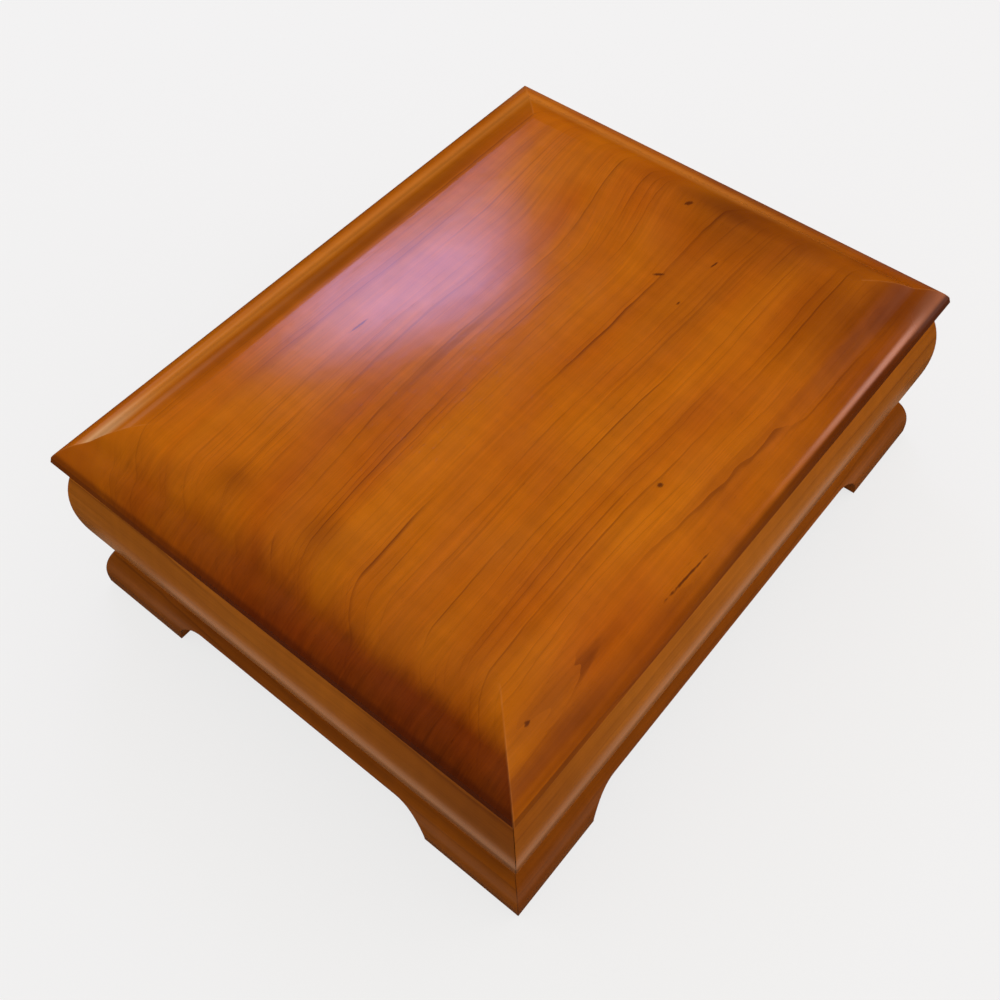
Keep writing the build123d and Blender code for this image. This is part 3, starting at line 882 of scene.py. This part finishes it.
def sliced(bm, low, high, cell):
    """Cuts a shape across all three axes into cells no smaller than cell, so that it can bend."""
    for axis in range(3):
        normal = Vector([float(i == axis) for i in range(3)])
        count = int((high[axis] - low[axis]) / cell)
        for step in range(1, count):
            cut_at = Vector(low).lerp(Vector(high), step / count)
            bmesh.ops.bisect_plane(bm, geom=everything(bm), dist=1e-4, plane_co=cut_at, plane_no=normal)
    return bm


def as_evaluated(thing):
    """The shape of an object once its modifiers have run."""
    evaluated = thing.evaluated_get(bpy.context.evaluated_depsgraph_get())
    shape = bmesh.new()
    shape.from_mesh(evaluated.to_mesh())
    evaluated.to_mesh_clear()
    return shape


def discard(*things):
    for thing in things:
        mesh = thing.data
        bpy.data.objects.remove(thing)
        bpy.data.meshes.remove(mesh)


def carve(bm, cutter):
    """Cuts one closed shape out of another, as a router does, and returns what is left."""
    for shape in (bm, cutter):
        bmesh.ops.recalc_face_normals(shape, faces=shape.faces)
    stock, tool = object_from(bm, "stock"), object_from(cutter, "cutter")
    modifier = stock.modifiers.new("carve", "BOOLEAN")
    modifier.operation = "DIFFERENCE"
    modifier.solver = "EXACT"
    modifier.object = tool
    carved = as_evaluated(stock)
    discard(stock, tool)
    return carved


def ease(bm, edges, width, segments=2):
    """Rounds edges over a little, as sandpaper does."""
    bmesh.ops.bevel(
        bm, geom=edges, offset=width, segments=segments, profile=0.5, affect="EDGES", material=-1,
        clamp_overlap=True,
    )


def sharp_edges(bm):
    return [e for e in bm.edges if e.is_manifold and e.calc_face_angle() > SHARPER_THAN]


print("eases edges over", round(degrees(SHARPER_THAN)), "degrees")

# %% Finishing a piece
def piece_from(bm, name, material, body, nodes, sharp=40):
    """A finished piece in metres: faces outwards, smooth but for sharp edges, riding on its body."""
    bmesh.ops.remove_doubles(bm, verts=bm.verts, dist=0.002)
    bmesh.ops.recalc_face_normals(bm, faces=bm.faces)
    bmesh.ops.scale(bm, verts=bm.verts, vec=(MM, MM, MM))
    piece = object_from(bm, name)
    piece.data.shade_smooth()
    piece.data.set_sharp_from_angle(angle=radians(sharp))
    piece.data.materials.append(material)
    piece.modifiers.new("even normals", "WEIGHTED_NORMAL").keep_sharp = True
    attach(piece, body)
    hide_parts(*nodes)
    print(name, len(piece.data.polygons), "faces")
    return piece


print("ready for the pieces of", len(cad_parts), "nodes")

# %% [markdown]
# ## The raised-panel lid
# The lid is one thick board whose edges were run past a cutter: a rounded rim, a gently sloping brim,
# a hollow into the bevel, and a soft crest up to the field. Four mitred runs of that section give its
# ridges at the corners for free. The field between them is then filled, and sliced so that it can bend.

# %% Lid profile
RIM_SLOPE, NOSE_SLOPE, BRIM_SLOPE, BEVEL_SLOPE, CREST_SLOPE = 75, 57, 12, 36, 4
TIP_ROUND, NOSE_ROUND, COVE_ROUND, CREST_ROUND = 1.0, 13.0, 8.0, 28.0
RIM_FACE, BRIM_WIDTH, BEVEL_REACH, FIELD_INSET = 2.4, 10.8, 19.6, 27.8
RIM_EASE = 0.2

lid_low, lid_high = LID_BOX
at_cove = tangent(BEVEL_SLOPE - BRIM_SLOPE, COVE_ROUND)
at_crest = tangent(BEVEL_SLOPE - CREST_SLOPE, CREST_ROUND)
pen = SectionPen((RIM_EASE, 0), 180)
pen.turn(RIM_SLOPE - 180, RIM_EASE, 3)
pen.forward(RIM_FACE)
pen.turn(NOSE_SLOPE - RIM_SLOPE, TIP_ROUND, 3)
pen.turn(BRIM_SLOPE - NOSE_SLOPE, NOSE_ROUND, 9)
pen.forward((BRIM_WIDTH - pen.tip.co.y) / cos(radians(BRIM_SLOPE)) - at_cove)
pen.turn(BEVEL_SLOPE - BRIM_SLOPE, COVE_ROUND, 5)
pen.forward((BEVEL_REACH - BRIM_WIDTH) / cos(radians(BEVEL_SLOPE)) - at_cove - at_crest)
pen.turn(CREST_SLOPE - BEVEL_SLOPE, CREST_ROUND, 10)
pen.forward((FIELD_INSET - BEVEL_REACH) / cos(radians(CREST_SLOPE)) - at_crest)
lid_section, field_height = pen.bm, pen.tip.co.z
print("field starts", round(field_height, 2), "mm up")

# %% Lid panel
SLICE, ARRIS_EASE, CLOSE = 7.0, 0.3, 0.01


def is_on_ridge(vert):
    from_end, from_side = lid_high.x - abs(vert.co.x), lid_high.y - abs(vert.co.y)
    return abs(from_end - from_side) < CLOSE and RIM_EASE < vert.co.z < field_height - RIM_EASE


def crown(x, y):
    """How far the field bulges: nothing along its edges, all in the middle, where each p (1 - p) is 1/4."""
    along, over = (0.5 * (1 + p / (h - FIELD_INSET)) for p, h in ((x, lid_high.x), (y, lid_high.y)))
    if not (0 < along < 1 and 0 < over < 1):
        return 0.0
    full = lid_high.z - lid_low.z - field_height
    return full * 16 * along * (1 - along) * over * (1 - over)


lid = bmesh.new()
for side in SIDES:
    run = mitred_run(lid_section, run_length(side, lid_high.x, lid_high.y), solid=False)
    to_side(run, side, lid_high.x, lid_high.y, 0)
    mesh = bpy.data.meshes.new("run")
    run.to_mesh(mesh)
    run.free()
    lid.from_mesh(mesh)
    bpy.data.meshes.remove(mesh)
lid_section.free()
bmesh.ops.remove_doubles(lid, verts=lid.verts, dist=CLOSE)
bmesh.ops.holes_fill(lid, edges=[e for e in lid.edges if e.is_boundary], sides=0)
sliced(lid, (-lid_high.x, -lid_high.y, 0), (lid_high.x, lid_high.y, 0), SLICE)
for vert in lid.verts:
    if vert.co.z > field_height - CLOSE:
        vert.co.z += crown(vert.co.x, vert.co.y)
ease(lid, [e for e in lid.edges if all(is_on_ridge(v) for v in e.verts)], ARRIS_EASE)
bmesh.ops.translate(lid, verts=lid.verts, vec=(0, 0, lid_low.z))
print("lid faces", len(lid.faces))

# %% [markdown]
# ## Room for the hinges
# A butt hinge is let into the wood, so that its leaves lie flush. The mortise is cut a hair larger
# than the leaf. Above the knuckles the lid also gets a round hollow, or it would not turn.

# %% Hinge mortises
HINGES = ("left", "right")
MORTISE_PLAY, BARREL_PLAY = 0.15, 0.3
LEAF_BED, KNUCKLE_RADIUS = 1.5, 2.0
PAST = 1.0


def hinge_axis(name):
    """Middle of the pin."""
    low, high = box_mm(f"{name}_hinge_pin")
    return (low + high) / 2


def mortise(name, leaf_of):
    """The shape that a leaf's bed is cut with, open towards the back and towards the other board."""
    low, high = box_mm(f"{name}_hinge_{leaf_of}_leaf")
    axis = hinge_axis(name)
    low = low - Vector((MORTISE_PLAY,) * 3)
    high = high + Vector((MORTISE_PLAY,) * 3)
    gap = (box_mm("lid_panel")[0].z - box_mm("back_wall")[1].z) / 2
    bed = gap + LEAF_BED
    if leaf_of == "body":
        return box_between((low.x, low.y, axis.z - bed), (high.x, lid_high.y + PAST, axis.z + PAST))
    return box_between((low.x, low.y, axis.z - PAST), (high.x, axis.y, axis.z + bed))


def barrel_hollow(name):
    low, high = box_mm(f"{name}_hinge_pin")
    hollow = bmesh.new()
    radius = KNUCKLE_RADIUS + BARREL_PLAY
    bmesh.ops.create_cone(
        hollow, cap_ends=True, segments=32, radius1=radius, radius2=radius,
        depth=high.x - low.x + 2 * MORTISE_PLAY,
    )
    turn = Matrix.Translation(hinge_axis(name)) @ Matrix.Rotation(radians(90), 4, "Y")
    bmesh.ops.transform(hollow, matrix=turn, verts=hollow.verts)
    return hollow


for name in HINGES:
    lid = carve(lid, mortise(name, "lid"))
    lid = carve(lid, barrel_hollow(name))
piece_from(lid, "lid_board", lid_cherry, "lid", ["lid_panel"], sharp=30)

# %% [markdown]
# ## Four bulging walls
# Each wall is a thick board planed to a wide round outside and left flat inside, with a groove for the
# bottom panel. The four are mitred together. The tiny rounds along the cut edges catch a line of light
# and leave the hairline groove that glued mitres show.

# %% Walls
WALL_BOARD, BULGE_RADIUS, BULGE_HEIGHT = 18.0, 60.0, 27.0
GROOVE_HEIGHT, GROOVE_DEPTH, GROOVE_WIDTH = 4.0, 5.0, 6.2
EDGE_EASE = 0.35

wall_low, wall_high = box_mm("front_wall")
wall_height = wall_high.z - wall_low.z
leans_out = degrees(asin(BULGE_HEIGHT / BULGE_RADIUS))
leans_in = degrees(asin((wall_height - BULGE_HEIGHT) / BULGE_RADIUS))
foot_inset = BULGE_RADIUS * (1 - cos(radians(leans_out)))
pen = SectionPen((foot_inset, 0), 90 + leans_out)
pen.turn(-leans_out - leans_in, BULGE_RADIUS, 20)
pen.line_to(WALL_BOARD, wall_height)
pen.line_to(WALL_BOARD, GROOVE_HEIGHT + GROOVE_WIDTH)
pen.line_to(WALL_BOARD - GROOVE_DEPTH, GROOVE_HEIGHT + GROOVE_WIDTH)
pen.line_to(WALL_BOARD - GROOVE_DEPTH, GROOVE_HEIGHT)
pen.line_to(WALL_BOARD, GROOVE_HEIGHT)
pen.line_to(WALL_BOARD, 0)
wall_section = pen.close()
wall_half_x, wall_half_y = -box_mm("left_wall")[0].x, -wall_low.y

for side in SIDES:
    board = mitred_run(wall_section, run_length(side, wall_half_x, wall_half_y), solid=True)
    to_side(board, side, wall_half_x, wall_half_y, wall_low.z)
    if side == "back":
        for name in HINGES:
            board = carve(board, mortise(name, "body"))
    ease(board, sharp_edges(board), EDGE_EASE)
    piece_from(board, f"{side}_wall_board", wall_cherry[side], "case_body", [f"{side}_wall"])
wall_section.free()

# %% [markdown]
# ## Base rails and their arches
# The base is a second mitred frame, upright at the floor and rounded in above. A long arch is sawn out
# of each rail, which leaves a bracket foot at every corner. The arch is drawn with the same pen, turned
# into a cutter, and taken away from the rail.

# %% Base rails
RAIL_BOARD, RAIL_FLAT, RAIL_ROUND = 18.0, 3.0, 32.0
FOOT_LENGTH, ARCH_HEIGHT, ARCH_ROUND = 41.0, 14.3, 13.5

rail_low, rail_high = box_mm("front_base_rail")
rail_height = rail_high.z - rail_low.z
pen = SectionPen((0, 0), 90)
pen.forward(RAIL_FLAT)
pen.turn(-degrees(asin((rail_height - RAIL_FLAT) / RAIL_ROUND)), RAIL_ROUND, 12)
pen.line_to(RAIL_BOARD, rail_height)
pen.line_to(RAIL_BOARD, 0)
rail_section = pen.close()
rail_half_x, rail_half_y = -box_mm("left_base_rail")[0].x, -rail_low.y


def arch_cutter(length):
    """The opening under a rail, right through its board."""
    half = length / 2 - FOOT_LENGTH
    pen = SectionPen((-half, -PAST), 90)
    pen.forward(PAST + ARCH_HEIGHT - ARCH_ROUND)
    pen.turn(-90, ARCH_ROUND, 12)
    pen.forward(2 * (half - ARCH_ROUND))
    pen.turn(-90, ARCH_ROUND, 12)
    pen.forward(PAST + ARCH_HEIGHT - ARCH_ROUND)
    cutter = extruded(pen.close(), RAIL_BOARD + 2 * PAST)
    bmesh.ops.holes_fill(cutter, edges=[e for e in cutter.edges if e.is_boundary], sides=0)
    turn = Matrix.Translation((0, RAIL_BOARD / 2, 0)) @ Matrix.Rotation(radians(90), 4, "Z")
    bmesh.ops.transform(cutter, matrix=turn, verts=cutter.verts)
    return cutter


for side in SIDES:
    length = run_length(side, rail_half_x, rail_half_y)
    board = carve(mitred_run(rail_section, length, solid=True), arch_cutter(length))
    ease(board, sharp_edges(board), EDGE_EASE)
    to_side(board, side, rail_half_x, rail_half_y, rail_low.z)
    nodes = [f"{side}_base_rail"]
    piece_from(board, f"{side}_rail_board", base_cherry[side], "case_body", nodes)
rail_section.free()

# %% [markdown]
# ## Metal, felt and plain woods
# The hinges are solid brass, gone a little dull, and the screws under the base are zinc steel. Metal
# needs few colours but a lively roughness: fine scratches and cloudy tarnish. One group serves both
# metals. The plain woods underneath share a second group, and felt and board a third, of tangled fibre.

# %% Metal group
metal_group, metal, given = new_group(
    "handled metal", {"Bright": tint(214, 178, 104), "Dull": tint(128, 92, 46), "Tarnish": 0.5}, FINISH
)
clouds = metal.fade(metal.noise(given["Place"], (5, 5, 5), detail=4.0), 0.38, 0.68)
specks = metal.fade(metal.noise(given["Place"], (0.7, 0.7, 0.7), detail=2.0), 0.60, 0.72)
scratches = metal.noise(given["Place"], (6, 0.12, 0.12), detail=2.0)
dirt = metal.total(clouds, metal.times(specks, 0.4))
worn = metal.math("MULTIPLY", dirt, given["Tarnish"], clamp=True)
finish_group(metal, {
    "Color": metal.mix(worn, given["Bright"], given["Dull"]),
    "Roughness": metal.total(metal.times(worn, 0.20), metal.around(scratches, 0.20), 0.34),
    "Height": metal.total(metal.around(scratches, 0.5), metal.times(specks, -0.4)),
})


def material_from(group, name, bump_depth, constants, values):
    """A material whose colour, roughness and relief come straight from one group."""
    material, graph, shader = new_material(name, **constants)
    values = {label: tint(*value) if isinstance(value, tuple) else value for label, value in values.items()}
    made = graph.use(group, {"Place": graph.place_mm(), **values})
    colour, roughness, height = (made[label] for label in FINISH)
    dress(graph, shader, bump_depth, Base_Color=colour, Roughness=roughness, Height=height)
    return material


def metal_material(name, bright, dull, tarnish):
    values = {"Bright": bright, "Dull": dull, "Tarnish": tarnish}
    return material_from(metal_group, name, 0.02, {"Metallic": 0.65}, values)


brass = metal_material("brass", (240, 206, 130), (186, 142, 78), 0.6)
zinc_steel = metal_material("zinc steel", (196, 200, 202), (122, 124, 122), 0.5)

# %% Plain wood group
plain_group, plain, given = new_group(
    "plain wood", {"Pale": tint(214, 184, 140), "Deep": tint(180, 142, 96), "Ring width": 6.0}, FINISH
)
_, y, z = plain.axes(given["Place"])
drift = plain.around(plain.noise(given["Place"], (120, 40, 40), detail=2.0), 26.0)
in_rings = plain.math("DIVIDE", plain.total(y, z, drift), given["Ring width"])
rings = plain.noise_along(in_rings, 1.0, detail=2.0)
fibres = plain.noise(given["Place"], (18, 0.6, 0.6), detail=3.0)
share = plain.total(plain.fade(rings, 0.38, 0.62), plain.around(fibres, 1.2))
finish_group(plain, {
    "Color": plain.mix(share, given["Pale"], given["Deep"]),
    "Roughness": plain.total(plain.around(fibres, 0.3), 0.58),
    "Height": plain.around(fibres, 1.0),
})


def plain_wood(name, pale, deep, ring_width):
    values = {"Pale": pale, "Deep": deep, "Ring width": ring_width}
    return material_from(plain_group, name, 0.06, {"IOR": 1.45}, values)


plywood = plain_wood("birch plywood", (222, 190, 142), (196, 156, 104), 14.0)
maple = plain_wood("maple", (226, 198, 156), (204, 168, 120), 5.0)

# %% Tangled fibre group
tangle_group, tangle, given = new_group(
    "tangled fibre", {"Pale": tint(60, 90, 60), "Deep": tint(30, 50, 34), "Fibre": 0.5}, FINISH
)
scaled = tangle.add("VectorMath", {0: given["Place"], 3: given["Fibre"]}, operation="SCALE").outputs[0]
hairs = tangle.noise(scaled, (0.6, 0.25, 0.25), detail=4.0, roughness=0.7)
crossed = tangle.noise(scaled, (0.25, 0.6, 0.25), detail=4.0, roughness=0.7)
both = tangle.times(tangle.total(hairs, crossed), 0.5)
finish_group(tangle, {
    "Color": tangle.mix(tangle.fade(both, 0.38, 0.62), given["Deep"], given["Pale"]),
    "Roughness": tangle.total(tangle.around(both, 0.2), 0.86),
    "Height": both,
})


def fibre_material(name, pale, deep, fibre, depth):
    constants = {"IOR": 1.4, "Sheen_Weight": 0.25, "Sheen_Roughness": 0.5}
    return material_from(tangle_group, name, depth, constants, {"Pale": pale, "Deep": deep, "Fibre": fibre})


felt = fibre_material("green felt", (58, 84, 58), (26, 44, 30), 1.0, 0.25)
fibreboard = fibre_material("fibreboard", (176, 140, 98), (132, 98, 62), 1.6, 0.05)

# %% Materials on the kept nodes
KEPT_NODES = {
    brass: ["hinge_body_screws", "hinge_lid_screws"]
    + [f"{name}_hinge_{part}" for name in HINGES for part in ("body_leaf", "lid_leaf", "pin")],
    zinc_steel: ["base_screws"],
    plywood: ["bottom_panel"],
    maple: ["wall_splines", "base_corner_blocks"],
    felt: ["felt_foot_pads"],
    fibreboard: ["pad_board"],
}
for material, names in KEPT_NODES.items():
    for name in names:
        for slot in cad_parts[name].material_slots:
            slot.material = material
print("kept nodes", sum(len(names) for names in KEPT_NODES.values()))

# %% [markdown]
# ## Velvet
# The case is lined with a deep blue velvet. Its pile stands up and catches light when seen from the
# side, which is what the shader's sheen is for. The pile also leans this way and that where it has been
# brushed, and shows as paler and darker clouds.

# %% Velvet material
velvet, graph, shader = new_material(
    "blue velvet", IOR=1.35, Specular_IOR_Level=0.2, Sheen_Weight=0.55, Sheen_Roughness=0.35,
    Sheen_Tint=tint(150, 170, 230),
)
pile_place = graph.place_mm()
brushed = graph.fade(graph.noise(pile_place, (75, 45, 45), detail=1.0), 0.30, 0.70)
pile = graph.noise(pile_place, (0.42, 0.42, 0.42), detail=2.0)
nap = graph.mix(brushed, tint(20, 29, 76), tint(27, 39, 94))
speckled = graph.mix(graph.fade(pile, 0.34, 0.66), graph.mix(0.5, nap, tint(4, 6, 22)), nap)
ruffle = graph.total(graph.times(pile, 0.35), graph.times(brushed, 0.6))
softness = graph.total(graph.times(brushed, -0.10), 0.92)
dress(graph, shader, 0.35, Base_Color=speckled, Roughness=softness, Height=ruffle)
print("velvet ready")

# %% [markdown]
# ## Lining boards
# Thin boards wrapped in velvet line the walls and the floor. Wrapping makes every edge soft, so each is
# a block with rounded edges. Its large faces are then cut into even cells, because long thin faces next
# to a round shade unevenly.

# %% Wall and floor linings
LINING_ROUND, LINING_CELL = 0.7, 9.0

for node in ["floor_lining"] + [f"{side}_lining" for side in SIDES]:
    low, high = box_mm(node)
    board = box_between(low, high)
    ease(board, board.edges[:], LINING_ROUND, segments=3)
    sliced(board, low, high, LINING_CELL)
    piece_from(board, node + "_velvet", velvet, "case_body", [node], sharp=60)

# %% [markdown]
# ## Padding that swells
# The pad is foam under stretched velvet. A block with round edges looks like soap, and real padding
# bulges most in the middle and is pulled in at its edges. Cloth simulation gives that: the closed shape
# is blown up from inside like a balloon, and stopped before it goes further than the fabric would.

# %% Cloth helper
SETTLE_FRAMES = 20
TINY = 1e-9


def blow_up(swelling, pressure):
    """Runs a cloth simulation with pressure inside and no gravity, and returns the shape at its end."""
    cloth = swelling.modifiers.new("cloth", "CLOTH")
    cloth.settings.quality = 6
    cloth.settings.use_pressure = True
    cloth.settings.uniform_pressure_force = pressure
    cloth.settings.effector_weights.gravity = 0
    cloth.point_cache.frame_end = SETTLE_FRAMES
    for number in range(1, SETTLE_FRAMES + 1):
        scene.frame_set(number)
    blown = as_evaluated(swelling)
    scene.frame_set(1)
    return blown


def swollen(start, low, high, pressure, cap, voxel):
    """A closed shape blown up as cloth. No point moves further than cap, or out of the box."""
    bmesh.ops.scale(start, verts=start.verts, vec=(MM, MM, MM))
    swelling = object_from(start, "swelling")
    remesh = swelling.modifiers.new("remesh", "REMESH")
    remesh.mode = "VOXEL"
    remesh.voxel_size = voxel * MM
    rest = as_evaluated(swelling)
    swelling.modifiers.remove(remesh)
    rest.to_mesh(swelling.data)
    blown = blow_up(swelling, pressure)
    for vert, blown_to in zip(rest.verts, blown.verts):
        move = (blown_to.co - vert.co) / MM
        move *= min(1.0, cap / max(move.length, TINY))
        vert.co = vert.co / MM + move
        vert.co = [min(max(c, a), b) for c, a, b in zip(vert.co, low, high)]
    blown.free()
    discard(swelling)
    return rest


# %% Velvet pad
PAD_START_INSET, PAD_ROUND, PAD_RISE = 1.2, 4.0, 4.0

pad_low, pad_high = box_mm("pad_cover")
start = box_between(
    pad_low + Vector((PAD_START_INSET, PAD_START_INSET, 0)), pad_high - Vector((PAD_START_INSET,) * 3)
)
upper_edges = [e for e in start.edges if max(v.co.z for v in e.verts) > pad_low.z + 1]
ease(start, upper_edges, PAD_ROUND, segments=4)
pad_limit = pad_high + Vector((0, 0, PAD_RISE))
pad = swollen(start, pad_low, pad_limit, pressure=4.0, cap=PAD_RISE + PAD_START_INSET, voxel=4.5)
pad = piece_from(pad, "velvet_pad", velvet, "case_body", ["pad_cover", "pad_foam"], sharp=180)
smoother = pad.modifiers.new("smooth", "SUBSURF")
smoother.levels = smoother.render_levels = 1

# %% Padded lid lining
LINING_PUFF, PUFF_ROUND = 1.6, 1.2

puff_low, puff_high = box_mm("lid_lining")
start = box_between(puff_low, puff_high)
lower_edges = [e for e in start.edges if min(v.co.z for v in e.verts) < puff_high.z - 1]
ease(start, lower_edges, PUFF_ROUND, segments=3)
puff_limit = puff_low - Vector((0, 0, LINING_PUFF))
lining = swollen(start, puff_limit, puff_high, pressure=3.0, cap=LINING_PUFF, voxel=2.5)
lining = piece_from(lining, "velvet_lid_lining", velvet, "lid", ["lid_lining"], sharp=180)
